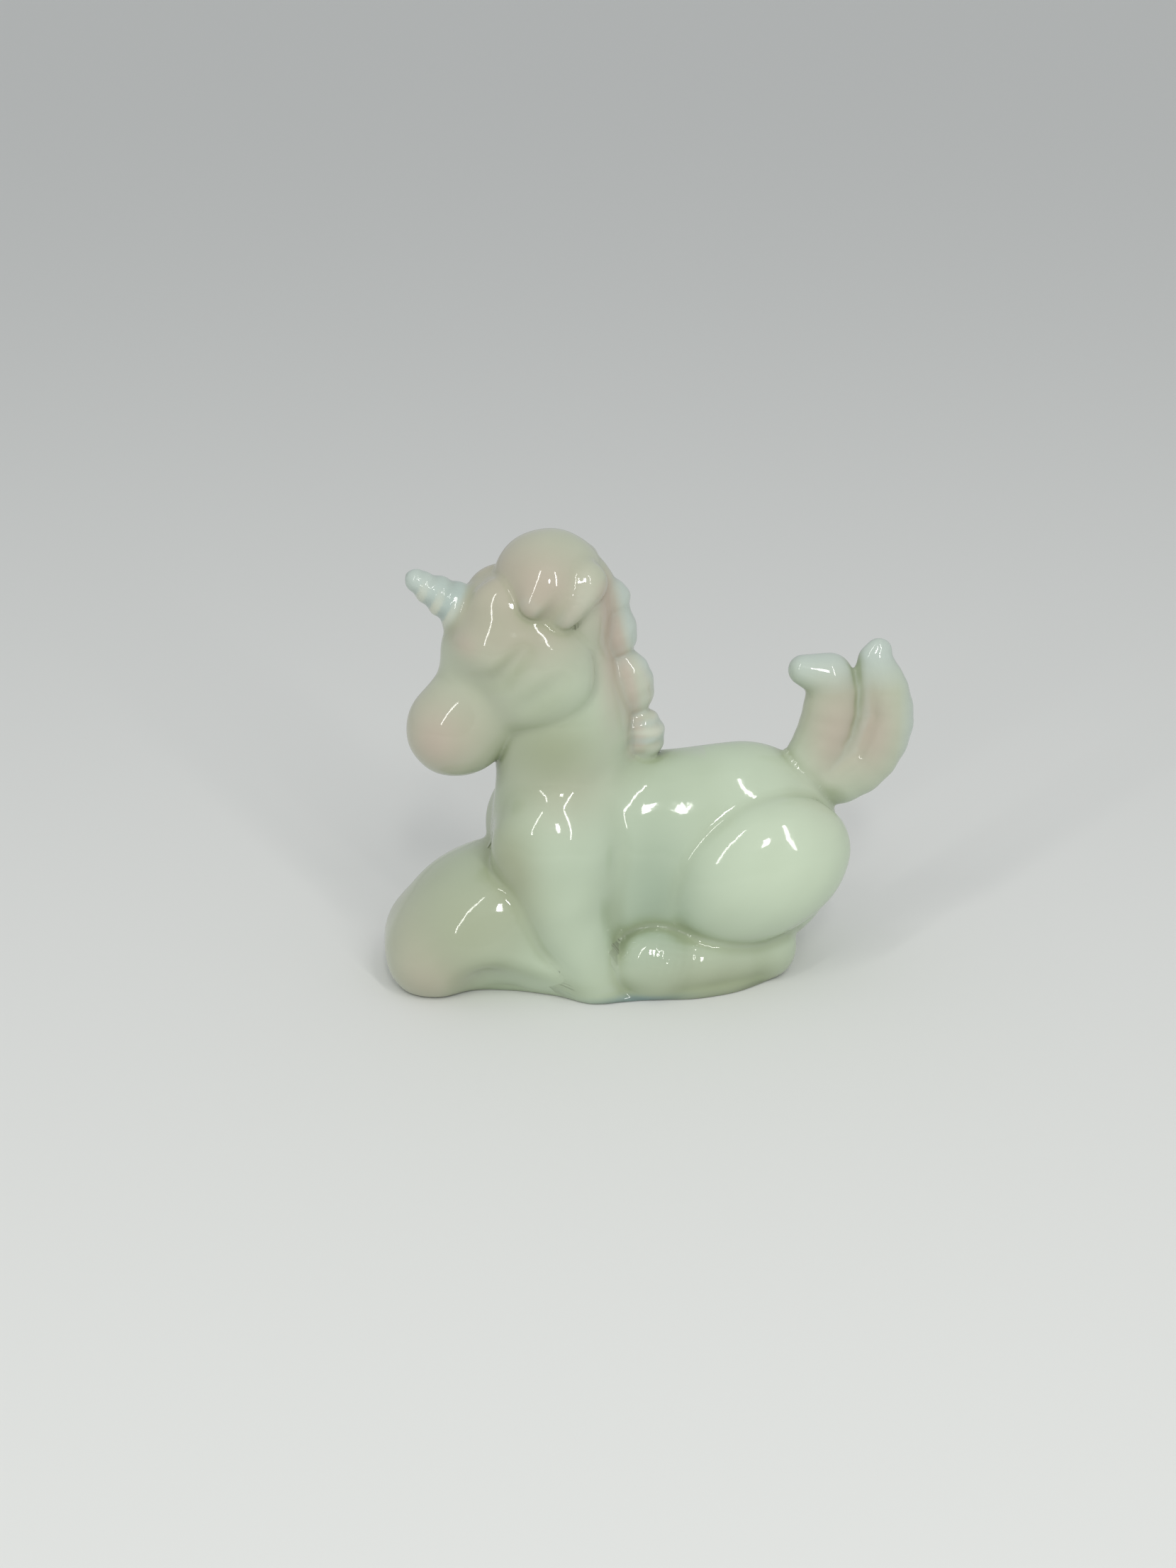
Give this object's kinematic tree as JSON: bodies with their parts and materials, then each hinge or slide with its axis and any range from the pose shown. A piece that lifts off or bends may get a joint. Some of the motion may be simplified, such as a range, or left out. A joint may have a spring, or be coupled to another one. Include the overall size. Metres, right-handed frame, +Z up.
{
  "type": "unicorn figurine",
  "caption": "Reclining unicorn foal ornament in pressed opaque glass, with a lobed mane, a short twisted horn, folded legs and a raised tail, lying on a flat underside.",
  "frame": {"origin": "the middle of the figure's outline on the ground, at the height of its flat underside", "axes": "+Z up, the figure faces -X, its left side faces -Y"},
  "size_m": [0.0768, 0.0304, 0.0665],
  "materials": {
    "green_glass": "fire-polished, opaque jade green",
    "blush_glass": "fire-polished, beige with a pink blush",
    "opal_glass": "fire-polished, pale blue opal"
  },
  "bodies": {
    "root": {"trunk": "green_glass", "neck": "green_glass", "left_cheek": "green_glass", "right_cheek": "green_glass", "left_haunch": "green_glass", "right_haunch": "green_glass", "left_shoulder": "green_glass", "right_shoulder": "green_glass", "left_foreleg": "green_glass", "right_foreleg": "green_glass", "left_hind_leg": "green_glass", "right_hind_leg": "green_glass", "left_hind_hoof": "green_glass", "right_hind_hoof": "green_glass", "head": "blush_glass", "left_eyelid": "blush_glass", "right_eyelid": "blush_glass", "forelock": "blush_glass", "left_ear": "blush_glass", "right_ear": "blush_glass", "tail_front_lock": "blush_glass", "tail_rear_lock": "blush_glass", "horn": "opal_glass", "mane_lock_1": "opal_glass", "mane_lock_2": "opal_glass", "mane_lock_3": "opal_glass", "mane_lock_4": "opal_glass", "mane_lock_5": "opal_glass", "tail_curl": "opal_glass"}
  },
  "joints": []
}
